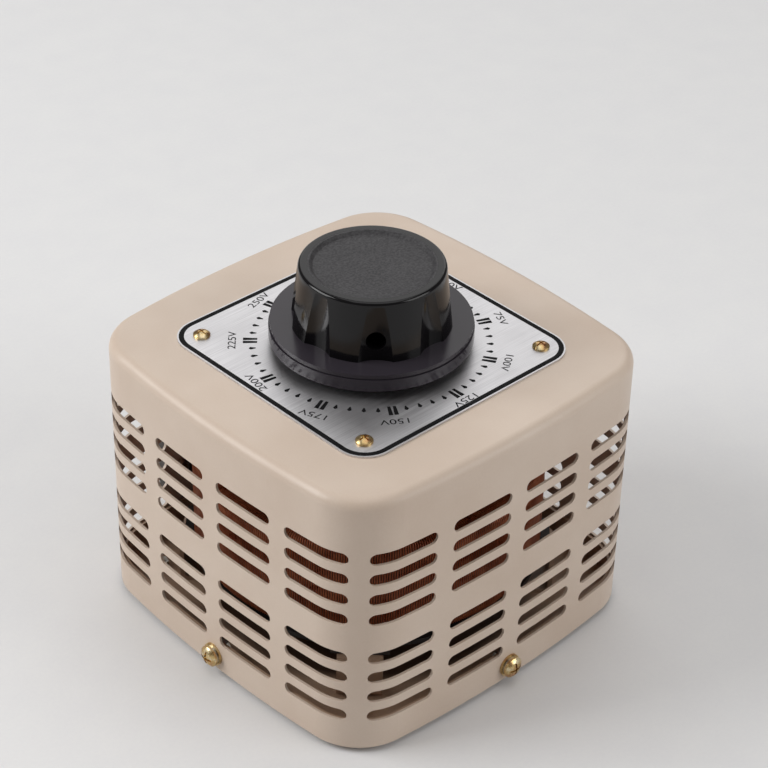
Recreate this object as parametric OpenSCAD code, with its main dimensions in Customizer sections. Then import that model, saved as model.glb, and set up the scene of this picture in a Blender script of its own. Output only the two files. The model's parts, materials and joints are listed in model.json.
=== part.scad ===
// Variable transformer: a toroid with a sliding brush, in a slotted sheet steel case
// The origin is on the shaft's axis at ground level, +Z up, and the terminals face -Y

/* [Case] */
// Width of the case across the middle of two opposite sides
case_w = 185; // [180:1:205]
// Height of the case from its lower edge to its top
case_h = 132; // [126:0.1:150]
// Half the angle of the wide arc that bulges each side
side_a = 6; // [5:0.5:9]
// Plan radius of the four corners
corner_r = 28; // [24:1:34]
// Radius of the rounded edge between the sides and the top
edge_r = 5; // [3:0.5:12]
// Thickness of the case's steel sheet
sheet_t = 1.2; // [0.8:0.1:1.6]
// Height of the case's lower edge above the ground
case_lift = 3; // [2:0.5:3.5]
// Radius of the shaft's hole in the case's top
top_hole_r = 11; // [8:0.5:14]

/* [Cooling slots] */
// Length of a slot, measured along the wall
slot_l = 33; // [24:0.2:36]
// Height of a slot
slot_h = 6; // [4:0.1:7]
// Step from one row of slots to the next
slot_step = 10.65; // [9:0.05:12]
// Rows in each of the two groups
slot_rows = 4; // [3:1:4]
// Columns of slots on each side
slot_cols = 4; // [4:2:4]
// Height of the lowest row above the ground
slot_low = 21; // [20:0.5:26]
// Step from the lower group's top row to the upper group's bottom row
group_step = 20.8; // [18:0.1:24]

/* [Base] */
// Thickness of the base tray
tray_t = 1.5; // [1:0.1:2]
// Height of the tray's turned-up rim
rim_h = 13; // [11:0.5:15]
// Gap between the rim and the case
tray_gap = 0.3; // [0.2:0.05:0.6]
// Room between the case screws' nuts and the tray's floor
case_nut_room = 0.5; // [0.3:0.1:1.5]
// Height of a rubber foot
foot_h = 4; // [4:0.5:6]
// Radius of a rubber foot
foot_r = 9; // [7:0.5:12]
// Gap between a foot and the nearest leg, seen from above
foot_gap = 1; // [0.5:0.5:3]
// Radius of the air holes in the tray
air_hole_r = 6; // [4:0.5:8]
// Distance of the air holes from the axis
air_ring_r = 44; // [38:1:48]
// Number of air holes
air_holes = 8; // [4:4:12]

/* [Legs] */
// Height of a leg
leg_h = 23.5; // [20:0.5:30]
// Width of a leg's strip
leg_w = 20; // [14:1:26]
// Thickness of a leg's strip
leg_t = 2; // [1.5:0.1:3]
// Gap between a leg and the corner of the case
leg_gap = 27.5; // [25:0.5:30]
// Length of a leg's two inward flanges
leg_flange = 26; // [22:1:30]
// Distance of the flange screws from the leg's outer face
leg_screw_in = 15; // [12:0.5:17]

/* [Toroid] */
// Inner radius of the iron core
core_in_r = 48; // [44:0.5:52]
// Room between the winding and the middle of the case's sides
winding_room = 11.8; // [10:0.2:16]
// Thickness of the core's insulation
insulation_t = 2.5; // [1.5:0.1:3.5]
// Thickness of the copper winding
winding_t = 3; // [2:0.1:4]
// Radius of the winding's rounded edges
winding_edge_r = 5; // [4:0.5:7]
// Thickness of the fibre pad under the winding
pad_t = 0.8; // [0.5:0.1:1.5]
// Thickness of the plate that carries the toroid
plate_t = 2.5; // [2.5:0.1:4]
// Width of the plate's four diagonal arms
plate_arm_w = 26; // [20:1:32]

/* [Clamp] */
// Thickness of the upper clamp disc
clamp_t = 4; // [3:0.5:6]
// Distance of the clamp bolts from the axis
clamp_bolt_ring = 22; // [19:0.5:25]
// Radius of the clamp bolts
clamp_bolt_r = 2.5; // [2:0.1:3]
// Height of the stop post above the clamp disc
stop_h = 7.5; // [5:0.5:9]
// Height of the stop post's collar
stop_collar_h = 1; // [0.6:0.1:1.5]
// Radius of the stop post
stop_r = 2.5; // [2:0.1:3]
// Distance of the stop post from the axis
stop_ring = 38; // [35:0.5:40]

/* [Shaft and bearings] */
// Radius of the shaft
shaft_r = 5; // [4:0.1:6]
// Running clearance of the shaft in its bushes
shaft_fit = 0.04; // [0.02:0.01:0.08]
// Wall of a bush
bush_wall = 3; // [2:0.1:4]
// Length of a bush below its flange
bush_l = 8; // [5:0.5:12]
// Radius of a bush's flange
bush_flange_r = 11; // [10:0.5:13]
// Thickness of a bush's flange
bush_flange_t = 2; // [1.5:0.1:3]
// Radius of the shaft's retaining collar
collar_r = 9; // [8:0.5:11]
// Height of the retaining collar
collar_h = 5; // [4:0.5:8]

/* [Brush gear] */
// Radius of the brush arm's hub
hub_r = 11; // [9:0.5:14]
// Height of the brush arm's hub
hub_h = 14; // [13:0.5:16]
// Radius of the arm's round cooling plate
arm_plate_r = 46; // [44:0.5:50]
// Thickness of the arm
arm_t = 3; // [2:0.1:4]
// Distance of the arm's underside above the hub's underside
arm_up = 8; // [6:0.5:9]
// Width of the arm where it carries the brush
arm_w = 20; // [16:0.5:26]
// Length of the brush along the radius
brush_l = 10; // [8:0.5:11]
// Width of the brush
brush_w = 6; // [4:0.5:8]
// Height of the brush
brush_h = 9; // [7:0.5:10]
// Wall of the brush holder
holder_wall = 1.5; // [1:0.1:2]
// Gap between the holder and the winding
holder_gap = 2; // [1.5:0.1:3]
// Sliding clearance of the brush in its holder
brush_fit = 0.15; // [0.1:0.05:0.3]
// Radius of the brush spring's coil
spring_r = 2; // [1.6:0.1:2.4]
// Radius of the brush spring's wire
spring_wire_r = 0.3; // [0.2:0.05:0.4]
// Turns of the brush spring
spring_turns = 4; // [3:1:5]
// Radius of the collector disc
collector_r = 15; // [12:0.5:17]
// Thickness of the collector disc
collector_t = 3; // [2:0.5:4]
// Width of the pickup strip
pickup_w = 8; // [6:0.5:10]
// Thickness of the pickup strip
pickup_t = 0.6; // [0.5:0.1:1]

/* [Dial] */
// Half the width of the square dial plate
dial_half = 64; // [58:0.1:66]
// Corner radius of the dial plate
dial_corner_r = 14; // [8:0.5:18]
// Thickness of the dial plate
dial_t = 0.8; // [0.5:0.1:1.5]
// Distance of the dial screws from the middle planes
dial_screw_x = 52.3; // [50:0.1:54]
// Angle of the zero mark on the dial
zero_a = -105; // [-115:1:-95]
// Turn of the knob from its zero mark to its last mark
turn_a = 330; // [320:1:335]

/* [Knob] */
// Gap between the knob's skirt and the dial plate
knob_gap = 4.5; // [3:0.1:6]
// Radius of the skirt
skirt_r = 44.8; // [42:0.1:48]
// Height of the skirt's lower band
skirt_band = 5.4; // [4:0.1:7]
// Depth of the groove round the skirt
skirt_groove = 0.5; // [0.3:0.1:1]
// Height of the skirt's upper lip
skirt_lip = 1.8; // [1:0.1:2.5]
// Radius of the grip where it meets the skirt
grip_base_r = 35.4; // [34:0.1:38]
// Radius of the grip at its top
grip_top_r = 32.1; // [31:0.1:34]
// Height of the grip
grip_h = 27.9; // [25:0.1:36]
// Radius of the grip's top edge
grip_edge_r = 1.6; // [1:0.1:2.5]
// Radius of the dish in the grip's top
dish_r = 27.2; // [24:0.1:29]
// Depth of the dish
dish_depth = 1.2; // [0.8:0.1:2]
// Width of the dish's sloping wall, seen from above
dish_slope = 1.6; // [0.5:0.1:3]
// Number of finger flutes
flutes = 8; // [6:1:9]
// Radius of a flute's hollow
flute_r = 16; // [12:0.5:20]
// Depth of a flute at the skirt
flute_depth = 2.7; // [2:0.1:3.5]
// Depth of a flute at its upper end
flute_top_depth = 0.7; // [0.3:0.1:1.5]
// Distance below the top at which the flutes end, under a plain rim
flute_end = 2; // [2:0.5:6]
// Angle of the flute with the set screw
set_screw_a = 50; // [45:0.5:53]
// Height of the set screw above the skirt
set_screw_up = 9.5; // [8:0.5:12]
// Radius of the set screw's hole through the grip
set_hole_r = 4.3; // [3:0.1:4.8]
// Radius of the brass insert in the knob
insert_r = 9; // [8:0.5:11]
// Height of the brass insert
insert_h = 26; // [23:0.5:28]
// Depth of the hollow under the skirt
skirt_hollow = 2.5; // [2:0.1:4]

/* [Terminals] */
// Width of the board's two ears, which hold its screws
board_ear = 9; // [8.5:0.5:12]
// Height of the terminal board
board_h = 40; // [34:1:42]
// Thickness of the terminal board in front of the case's wall
board_t = 8; // [6:0.5:12]
// Distance from the outer studs to the ends of the board's raised back
window_end = 6; // [5.5:0.5:7]
// Height of the board's raised back, which fills a window in the wall
window_h = 18; // [15:1:22]
// Clearance of the raised back in its window
window_gap = 0.4; // [0.2:0.1:0.8]
// Depth of the raised back behind the wall's middle
board_back = 4.5; // [4.5:0.5:5.5]
// Number of terminal studs
studs = 4; // [3:1:4]
// Step from stud to stud
stud_step = 18; // [17:0.5:18]
// Radius of a stud
stud_r = 2.5; // [2:0.1:3]
// Length of a stud's plain tip in front of its thumb nut
stud_tip = 6.5; // [5:0.5:12]
// Radius of a stud's plain tip
stud_tip_r = 2; // [1.5:0.1:2]
// Length of a stud behind the board
stud_rear = 6; // [5.5:0.1:7]
// Radius of a thumb nut
thumb_r = 6; // [5:0.1:7]
// Height of a thumb nut
thumb_h = 7; // [5:0.5:9]
// Gap for a wire under a thumb nut
wire_room = 3.5; // [2:0.5:5]
// Radius of the inner leads
lead_r = 1.3; // [1:0.1:1.6]
// Height at which a lead turns in to the winding, above its stud
lead_rise = 13; // [11:0.5:16]
// Radius of a bend in a lead
lead_bend_r = 3; // [2.5:0.5:4]

/* [Fasteners] */
// Radius of the case screws
case_screw_r = 2.5; // [2:0.1:3]
// Radius of the small screws
small_screw_r = 1.9; // [1.5:0.1:2.2]
// Height of a screw head, as a share of the screw's radius
head_share = 1.25; // [1:0.05:1.4]
// Radius of a screw head, as a share of the screw's radius
head_r_share = 2; // [1.8:0.05:2.2]
// Height of a nut, as a share of the screw's radius
nut_share = 1.6; // [1.2:0.1:1.8]
// Radius of a nut, as a share of the screw's radius
nut_r_share = 1.85; // [1.75:0.05:2]
// Thickness of a flat washer
washer_t = 1; // [0.6:0.1:1.4]
// Radius of a washer, as a share of the screw's radius
washer_r_share = 2.2; // [2:0.05:2.3]
// Length of a screw past its nut
screw_end = 1; // [0.5:0.1:2]
// Clearance round a screw in its hole
hole_gap = 0.3; // [0.2:0.05:0.5]
// Clearance between pieces that are fixed together
fit_gap = 0.05; // [0.02:0.01:0.1]
// Gap between pieces that run past each other
run_gap = 0.3; // [0.2:0.05:0.5]
// Room between the brush arm and the case's top
head_room = 29; // [24:0.5:32]

/* [Hidden] */
$fn = 64;
// Segments for the sides' wide arcs
wide_fn = 720;

// Outline of the case: four wide arcs that run smoothly into four corner arcs
half = case_w / 2;
arc_share = cos(side_a) - sin(side_a);
side_r = (half - corner_r * arc_share) / (1 - arc_share);
side_c = side_r - half;
corner_c = (side_r - corner_r) * sin(side_a);
side_len = side_r * side_a * PI / 180;
corner_reach = sqrt(2) * corner_c + corner_r;
corner_a = 90 - 2 * side_a;
outline_l = 8 * side_len + 4 * corner_r * corner_a * PI / 180;
slot_pitch = outline_l / (4 * slot_cols);
// The slots are cut no deeper than this, so that neighbours at a corner stay apart
slot_depth = 0.6 * corner_r;
// The sweeps stop short of each corner's centre, and the flat panels lap over them
web_r = 4;
panel_lap = 1.5 * web_r;
case_top = case_lift + case_h;

// Heights, from the ground up and from the case's top down
tray_top = foot_h + tray_t;
case_screw_z = tray_top + case_nut_room + cos(30) * nut_r(case_screw_r);
hub_top = case_top - sheet_t - head_room;
hub_z = hub_top - hub_h;
arm_z = hub_z + arm_up;
bush_top = hub_z - run_gap;
clamp_top = bush_top - bush_flange_t;
plate_z = tray_top + leg_h;
plate_top = plate_z + plate_t;
winding_z = plate_top + pad_t;
winding_top = clamp_top - clamp_t;
winding_h = winding_top - winding_z;
winding_wall = insulation_t + winding_t;
winding_in_r = core_in_r - winding_wall;
winding_out_r = half - sheet_t - winding_room;
core_out_r = winding_out_r - winding_wall;
core_h = winding_h - 2 * winding_wall;
collar_top = plate_z - bush_flange_t - run_gap;
collector_top = collar_top - collar_h;
collector_z = collector_top - collector_t;
dial_z = case_top;
dial_top = dial_z + dial_t;
skirt_z = dial_top + knob_gap;
skirt_h = skirt_band + skirt_groove + skirt_lip;
skirt_top = skirt_z + skirt_h;
knob_top = skirt_top + grip_h;
insert_z = skirt_z + skirt_hollow;
insert_top = insert_z + insert_h;
set_screw_z = skirt_top + set_screw_up;
bush_r = shaft_r + bush_wall;
shaft_end_gap = 1;

// Legs stand on the diagonals
leg_r = corner_reach - sheet_t - leg_gap;
leg_screw_ring = leg_r - leg_screw_in;
foot_ring = leg_r + foot_gap + foot_r;
diagonals = [45, 135, 225, 315];

// Brush and stop: the brush runs along the middle of the winding's upper face
brush_ring = (winding_in_r + winding_out_r) / 2;
brush_z = winding_top + run_gap;
brush_top = brush_z + brush_h;
holder_z = winding_top + holder_gap;
holder_half_l = brush_l / 2 + brush_fit + holder_wall;
holder_half_w = brush_w / 2 + brush_fit + holder_wall;
// The clamp disc stays clear of the holder's path
clamp_r = brush_ring - holder_half_l - run_gap;
half_rest_a = 180 - turn_a / 2;
stop_a = zero_a + half_rest_a;
lug_inner = stop_ring - 2 * stop_r;
lug_outer = stop_ring + 2 * stop_r;
lug_z = clamp_top + stop_collar_h + run_gap;
lug_half_a = half_rest_a - asin((stop_r + run_gap) / stop_ring);
brush_a = zero_a + 180;

// Terminal side, with lengths measured outward from the axis
board_front = half + board_t;
board_rear = half - board_back;
board_z = slot_low + (slot_rows - 1) * slot_step / 2;
stud_list = [for (i = [0:studs - 1]) (i - (studs - 1) / 2) * stud_step];
window_w = (studs - 1) * stud_step + 2 * window_end;
board_w = window_w + 2 * board_ear;
board_screw_y = (window_w + board_ear) / 2;
thumb_u = board_front + washer_t + nut_share * stud_r + wire_room;
lug_t = 0.6;
lug_tongue = 2;
lead_u = board_rear - lead_r - fit_gap;
pickup_turn = -30;
lead_inner_u = -stud_list[studs - 1] * tan(pickup_turn);
pickup_fix_x = bush_flange_r + pickup_w;
pickup_z = collector_z - run_gap - pickup_t;
pickup_pad = 1.5;
lead_drop = board_z - pickup_z + lead_r + fit_gap;

// Screw sizes that follow the screw's radius
function head_r(r) = head_r_share * r;
function head_h(r) = head_share * r;
function nut_r(r) = nut_r_share * r;
function nut_h(r) = nut_share * r;
function washer_r(r) = washer_r_share * r;

// Point of the outline at a distance s from the middle of the +X side
function outline_at(s) =
  s <= side_len
    ? let (a = s / side_r * 180 / PI) [side_r * cos(a) - side_c, side_r * sin(a)]
    : let (b = side_a + (s - side_len) / corner_r * 180 / PI)
      [corner_c + corner_r * cos(b), corner_c + corner_r * sin(b)];
// Distance of a wall's face from the middle plane, at a distance y along the side
function wall_at(y, inset) = sqrt(pow(side_r - inset, 2) - y * y) - side_c;

// General shapes

// Moves by a coarse and a fine step, so that long numbers keep all their digits
module fine_shift(v) {
  coarse = [for (c = v) round(c * 1000) / 1000];
  translate(coarse) translate(v - coarse) children();
}

// Sweeps a profile, drawn with x = 0 on the case's outer face, round the outline
module along_outline() {
  for (side = [0:3]) rotate(90 * side) {
    fine_shift([-side_c, 0, 0])
      rotate_extrude(angle = 2 * side_a, start = -side_a, $fn = wide_fn) fine_shift([side_r, 0, 0]) children();
    fine_shift([corner_c, corner_c, 0])
      rotate_extrude(angle = corner_a, start = side_a) translate([corner_r, 0]) children();
  }
}

// Disc that reaches a little past the corner centres on one side
module side_disc(side) {
  rotate(90 * side) fine_shift([-side_c, 0, 0]) circle(side_r - corner_r + panel_lap, $fn = wide_fn);
}

// Flat panel that closes the middle of the outline
module panel(z, t) {
  translate([0, 0, z]) linear_extrude(t) intersection() {
    side_disc(0);
    side_disc(1);
    side_disc(2);
    side_disc(3);
  }
}

// Quarter of a ring in the first quadrant
module quarter_ring(outer, inner) {
  intersection() {
    difference() {
      circle(outer);
      circle(inner);
    }
    square(outer);
  }
}

// Slot with round ends
module stadium(l, h) {
  square([l - h, h], center = true);
  for (s = [-1, 1]) translate([s * (l - h) / 2, 0]) circle(h / 2);
}

module rounded_square(half_w, r) {
  square([2 * half_w, 2 * (half_w - r)], center = true);
  square([2 * (half_w - r), 2 * half_w], center = true);
  for (x = [-1, 1], y = [-1, 1]) translate([x, y] * (half_w - r)) circle(r);
}

// Rounded rectangle with its lower left corner at the origin
module rounded_rect(w, h, r) {
  translate([r, 0]) square([w - 2 * r, h]);
  translate([0, r]) square([w, h - 2 * r]);
  for (x = [r, w - r], y = [r, h - r]) translate([x, y]) circle(r);
}

module ring(outer, inner, h) {
  difference() {
    cylinder(r = outer, h = h);
    translate([0, 0, -h]) cylinder(r = inner, h = 3 * h);
  }
}

// Turns a piece's +Z axis to face outward along +X
module facing_out() {
  rotate([0, 90, 0]) children();
}

module on_each_side() {
  for (side = [0:3]) rotate(90 * side) children();
}

module on_diagonals(r) {
  for (a = diagonals) rotate(a) translate([r, 0, 0]) children();
}

// The terminal side's frame: +X points out of the wall, +Y along it
module on_terminal_side() {
  rotate(-90) children();
}

// Screw with a domed cross-slotted head that sits on z = 0 and a shank below it
module pan_screw(r, l) {
  rim = 0.35 * head_h(r);
  dome_h = head_h(r) - rim;
  dome_r = (pow(head_r(r), 2) + dome_h * dome_h) / (2 * dome_h);
  slot = [1.3 * head_r(r), 0.35 * r, head_h(r)];
  translate([0, 0, -l]) cylinder(r = r, h = l);
  difference() {
    intersection() {
      cylinder(r = head_r(r), h = head_h(r));
      translate([0, 0, head_h(r) - dome_r]) sphere(dome_r);
    }
    for (a = [0, 90]) rotate(a) translate([0, 0, 1.05 * head_h(r)]) cube(slot, center = true);
  }
}

// Screw with a six-sided head above z = 0 and a shank below it
module hex_screw(r, l) {
  translate([0, 0, -l]) cylinder(r = r, h = l);
  cylinder(r = nut_r(r), h = nut_h(r), $fn = 6);
}

module hex_nut(r) {
  difference() {
    cylinder(r = nut_r(r), h = nut_h(r), $fn = 6);
    translate([0, 0, -r]) cylinder(r = r + fit_gap, h = nut_h(r) + 2 * r);
  }
}

// Case and base

module case_profile() {
  translate([-sheet_t, case_lift]) square([sheet_t, case_h - edge_r]);
  translate([-edge_r, case_top - edge_r]) quarter_ring(edge_r, edge_r - sheet_t);
  translate([web_r - corner_r, case_top - sheet_t]) square([corner_r - web_r - edge_r, sheet_t]);
}

// Cuts one column of a slot row, square on to the chord between the slot's ends
module slot_cut(col) {
  start = (col + 0.5) * slot_pitch - slot_l / 2;
  p = outline_at(start);
  q = outline_at(start + slot_l);
  mid = (p + q) / 2;
  translate([mid.x, mid.y, 0]) rotate(atan2(q.y - p.y, q.x - p.x) - 90) rotate([90, 0, 90])
    linear_extrude(slot_depth, center = true) stadium(norm(q - p), slot_h);
}

// The terminal side has no slots where the board is
module case_slots() {
  upper = slot_low + (slot_rows - 1) * slot_step + group_step;
  for (side = [0:3], base = [slot_low, upper], row = [0:slot_rows - 1], col = [0:slot_cols / 2 - 1])
    if (side != 3 || base != slot_low || col > 0)
      rotate(90 * side) for (m = [0, 1]) mirror([0, m, 0])
        translate([0, 0, base + row * slot_step]) slot_cut(col);
}

module case() {
  color("#cfbeae") difference() {
    union() {
      along_outline() case_profile();
      panel(case_top - sheet_t, sheet_t);
    }
    case_slots();
    translate([0, 0, case_top - 2 * sheet_t]) cylinder(r = top_hole_r, h = 3 * sheet_t);
    for (x = [-1, 1], y = [-1, 1])
      translate([x * dial_screw_x, y * dial_screw_x, case_top - 2 * sheet_t])
        cylinder(r = small_screw_r + hole_gap, h = 3 * sheet_t);
    on_each_side() translate([half - 4 * sheet_t, 0, case_screw_z]) facing_out()
      cylinder(r = case_screw_r + hole_gap, h = 8 * sheet_t);
    on_terminal_side() {
      translate([board_rear, -window_w / 2 - window_gap, board_z - window_h / 2 - window_gap])
        cube([2 * board_back, window_w + 2 * window_gap, window_h + 2 * window_gap]);
      for (s = [-1, 1]) translate([board_rear, s * board_screw_y, board_z]) facing_out()
        cylinder(r = small_screw_r + hole_gap, h = 2 * board_back);
    }
  }
}

// Stack on each case screw, outward from the wall: flat washer, spring washer, head
module at_case_screws(out) {
  on_each_side() translate([half + out, 0, case_screw_z]) facing_out() children();
}

module case_screws() {
  length = 2 * washer_t + sheet_t + tray_gap + tray_t + nut_h(case_screw_r) + screw_end;
  color("#c9a24a") at_case_screws(2 * washer_t) pan_screw(case_screw_r, length);
}

module case_spring_washers() {
  outer = 0.85 * washer_r(case_screw_r);
  color("#b8ae98") at_case_screws(washer_t) difference() {
    ring(outer, case_screw_r + hole_gap, washer_t);
    translate([0, -0.2 * washer_t, -washer_t]) rotate([30, 0, 0])
      cube([outer * 2, 0.4 * washer_t, 4 * washer_t]);
  }
}

module case_flat_washers() {
  color("#c9a24a") at_case_screws(0)
    ring(washer_r(case_screw_r), case_screw_r + hole_gap, washer_t);
}

module case_nuts() {
  inner = half - sheet_t - tray_gap - tray_t - fit_gap;
  color("#b8ae98") on_each_side() translate([inner - nut_h(case_screw_r), 0, case_screw_z])
    facing_out() rotate(30) hex_nut(case_screw_r);
}

module tray_profile() {
  outer = sheet_t + tray_gap;
  translate([-outer - tray_t, foot_h]) square([tray_t, rim_h]);
  translate([web_r - corner_r, foot_h]) square([corner_r - web_r - outer - tray_t, tray_t]);
}

module base_tray() {
  deep = 3 * tray_t;
  color("#c4b3a2") difference() {
    union() {
      along_outline() tray_profile();
      panel(foot_h, tray_t);
    }
    at_case_screws(-sheet_t - tray_gap - 2 * tray_t) cylinder(r = case_screw_r + hole_gap, h = deep);
    for (r = [foot_ring, leg_screw_ring]) on_diagonals(r) translate([0, 0, foot_h - tray_t])
      cylinder(r = small_screw_r + hole_gap, h = deep);
    for (i = [0:air_holes - 1]) rotate((i + 0.5) * 360 / air_holes)
      translate([air_ring_r, 0, foot_h - tray_t]) cylinder(r = air_hole_r, h = deep);
  }
}

// Floor of each foot's recess, with the screw head just above the ground
ground_gap = 0.2;
foot_floor = head_h(small_screw_r) + ground_gap;

module rubber_feet() {
  color("#232323") on_diagonals(foot_ring) difference() {
    cylinder(r1 = 0.9 * foot_r, r2 = foot_r, h = foot_h);
    translate([0, 0, -foot_h]) cylinder(r = small_screw_r + hole_gap, h = 3 * foot_h);
    translate([0, 0, -foot_h]) cylinder(r = head_r(small_screw_r) + hole_gap, h = foot_floor + foot_h);
  }
}

module foot_screws() {
  length = tray_top - foot_floor + nut_h(small_screw_r) + screw_end;
  color("#b8ae98") on_diagonals(foot_ring) translate([0, 0, foot_floor]) mirror([0, 0, 1])
    pan_screw(small_screw_r, length);
}

module foot_nuts() {
  color("#b8ae98") on_diagonals(foot_ring) translate([0, 0, tray_top]) hex_nut(small_screw_r);
}

// Legs and carrier

// Bent strip seen from its side: the riser's outer face is at x = 0
module leg_profile() {
  bend = 2 * leg_t;
  translate([-leg_t, bend]) square([leg_t, leg_h - 2 * bend]);
  for (top = [0, 1]) translate([0, top * leg_h]) mirror([0, top]) {
    translate([-leg_flange, 0]) square([leg_flange - bend, leg_t]);
    translate([-bend, bend]) mirror([0, 1]) quarter_ring(bend, bend - leg_t);
  }
}

module legs() {
  color("#c4b3a2") on_diagonals(leg_r) translate([0, 0, tray_top]) difference() {
    translate([0, leg_w / 2, 0]) rotate([90, 0, 0]) linear_extrude(leg_w) leg_profile();
    translate([-leg_screw_in, 0, -leg_t]) cylinder(r = small_screw_r + hole_gap, h = leg_h + 2 * leg_t);
  }
}

module leg_base_screws() {
  length = tray_t + leg_t + nut_h(small_screw_r) + screw_end;
  color("#b8ae98") on_diagonals(leg_screw_ring) translate([0, 0, foot_h]) mirror([0, 0, 1])
    pan_screw(small_screw_r, length);
}

module leg_base_nuts() {
  color("#b8ae98") on_diagonals(leg_screw_ring) translate([0, 0, tray_top + leg_t]) hex_nut(small_screw_r);
}

// Countersunk screws keep the carrier's upper face flat under the winding
sink_h = small_screw_r;
sink_r = 2 * small_screw_r;

module leg_top_screws() {
  length = plate_t + leg_t + nut_h(small_screw_r) + screw_end;
  color("#b8ae98") on_diagonals(leg_screw_ring) translate([0, 0, plate_top]) {
    translate([0, 0, -length]) cylinder(r = small_screw_r, h = length - sink_h);
    translate([0, 0, -sink_h]) cylinder(r1 = small_screw_r, r2 = sink_r, h = sink_h);
  }
}

module leg_top_nuts() {
  color("#b8ae98") on_diagonals(leg_screw_ring)
    translate([0, 0, plate_z - leg_t - nut_h(small_screw_r)]) hex_nut(small_screw_r);
}

module at_clamp_bolts() {
  for (a = [30, 150, 270]) rotate(a) translate([clamp_bolt_ring, 0, 0]) children();
}

module carrier_plate() {
  deep = 3 * plate_t;
  color("#3a3836") translate([0, 0, plate_z]) difference() {
    union() {
      cylinder(r = winding_out_r, h = plate_t);
      for (a = diagonals) rotate(a) translate([0, -plate_arm_w / 2, 0])
        cube([leg_r - leg_t, plate_arm_w, plate_t]);
    }
    translate([0, 0, -plate_t]) {
      cylinder(r = bush_r + fit_gap, h = deep);
      at_clamp_bolts() cylinder(r = clamp_bolt_r + hole_gap, h = deep);
      on_diagonals(leg_screw_ring) cylinder(r = small_screw_r + hole_gap, h = deep);
      rotate(pickup_turn) translate([pickup_fix_x, 0, 0]) cylinder(r = small_screw_r + hole_gap, h = deep);
    }
    on_diagonals(leg_screw_ring) translate([0, 0, plate_t - sink_h])
      cylinder(r1 = small_screw_r + fit_gap, r2 = sink_r + fit_gap, h = sink_h);
  }
}

module fibre_pad() {
  color("#7d6a4a") translate([0, 0, plate_top])
    ring(winding_out_r - winding_edge_r, winding_in_r + winding_edge_r, pad_t);
}

// Toroid and clamp

module iron_core() {
  color("#6f6f73") translate([0, 0, winding_z + winding_wall]) ring(core_out_r, core_in_r, core_h);
}

module core_insulation() {
  wall = insulation_t - fit_gap;
  color("#b59a68") translate([0, 0, winding_z + winding_t + fit_gap]) rotate_extrude() difference() {
    translate([core_in_r - wall, 0])
      rounded_rect(core_out_r - core_in_r + 2 * wall, core_h + 2 * wall, winding_edge_r - winding_t);
    translate([core_in_r - fit_gap, wall - fit_gap])
      square([core_out_r - core_in_r + 2 * fit_gap, core_h + 2 * fit_gap]);
  }
}

module winding() {
  wide = winding_out_r - winding_in_r;
  color("#6b2c18") translate([0, 0, winding_z]) rotate_extrude() difference() {
    translate([winding_in_r, 0]) rounded_rect(wide, winding_h, winding_edge_r);
    translate([winding_in_r + winding_t, winding_t])
      rounded_rect(wide - 2 * winding_t, winding_h - 2 * winding_t, winding_edge_r - winding_t);
  }
}

module clamp_disc() {
  deep = 3 * clamp_t;
  color("#2b2420") translate([0, 0, winding_top]) difference() {
    cylinder(r = clamp_r, h = clamp_t);
    translate([0, 0, -clamp_t]) {
      cylinder(r = bush_r + fit_gap, h = deep);
      at_clamp_bolts() cylinder(r = clamp_bolt_r + hole_gap, h = deep);
      rotate(stop_a) translate([stop_ring, 0, 0]) cylinder(r = stop_r + fit_gap, h = deep);
    }
  }
}

module clamp_bolts() {
  length = plate_t + pad_t + winding_h + clamp_t + washer_t + nut_h(clamp_bolt_r);
  color("#b8ae98") at_clamp_bolts() translate([0, 0, plate_z]) mirror([0, 0, 1])
    hex_screw(clamp_bolt_r, length);
}

module clamp_washers() {
  color("#b8ae98") at_clamp_bolts() translate([0, 0, clamp_top])
    ring(washer_r(clamp_bolt_r), clamp_bolt_r + hole_gap, washer_t);
}

module clamp_nuts() {
  color("#b8ae98") at_clamp_bolts() translate([0, 0, clamp_top + washer_t]) hex_nut(clamp_bolt_r);
}

module stop_post() {
  color("#b8ae98") rotate(stop_a) translate([stop_ring, 0, winding_top]) {
    cylinder(r = stop_r, h = clamp_t + stop_h);
    translate([0, 0, clamp_t]) cylinder(r = 1.4 * stop_r, h = stop_collar_h);
  }
}

// Flanged bush with its flange above z = 0
module bush() {
  difference() {
    union() {
      cylinder(r = bush_flange_r, h = bush_flange_t);
      translate([0, 0, -bush_l]) cylinder(r = bush_r, h = bush_l);
    }
    translate([0, 0, -2 * bush_l]) cylinder(r = shaft_r + shaft_fit, h = 4 * bush_l);
  }
}

module upper_bush() {
  color("#b08d3e") translate([0, 0, clamp_top]) bush();
}

module lower_bush() {
  color("#b08d3e") translate([0, 0, plate_z]) mirror([0, 0, 1]) bush();
}

// Spring strip under the carrier that wipes the collector disc
module pickup_strip() {
  tail = 3 * pickup_w;
  drop = plate_z - pickup_pad - pickup_z;
  color("#b87333") rotate(pickup_turn) {
    difference() {
      translate([pickup_fix_x - pickup_w / 2, -pickup_w / 2, plate_z - pickup_pad])
        cube([tail, pickup_w, pickup_pad]);
      translate([pickup_fix_x, 0, plate_z - 2 * pickup_pad])
        cylinder(r = small_screw_r + hole_gap, h = 3 * pickup_pad);
    }
    translate([pickup_fix_x + tail - pickup_w / 2 - pickup_t, -pickup_w / 2, pickup_z])
      cube([pickup_t, pickup_w, drop]);
    translate([shaft_r + pickup_w / 2, -pickup_w / 2, pickup_z])
      cube([pickup_fix_x + tail - pickup_w - shaft_r, pickup_w, pickup_t]);
  }
}

module pickup_screw() {
  color("#b8ae98") rotate(pickup_turn) translate([pickup_fix_x, 0, plate_z - pickup_pad]) mirror([0, 0, 1])
    pan_screw(small_screw_r, pickup_pad + plate_t);
}

// Dial

module at_dial_screws(z) {
  for (x = [-1, 1], y = [-1, 1]) translate([x * dial_screw_x, y * dial_screw_x, z]) children();
}

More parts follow.
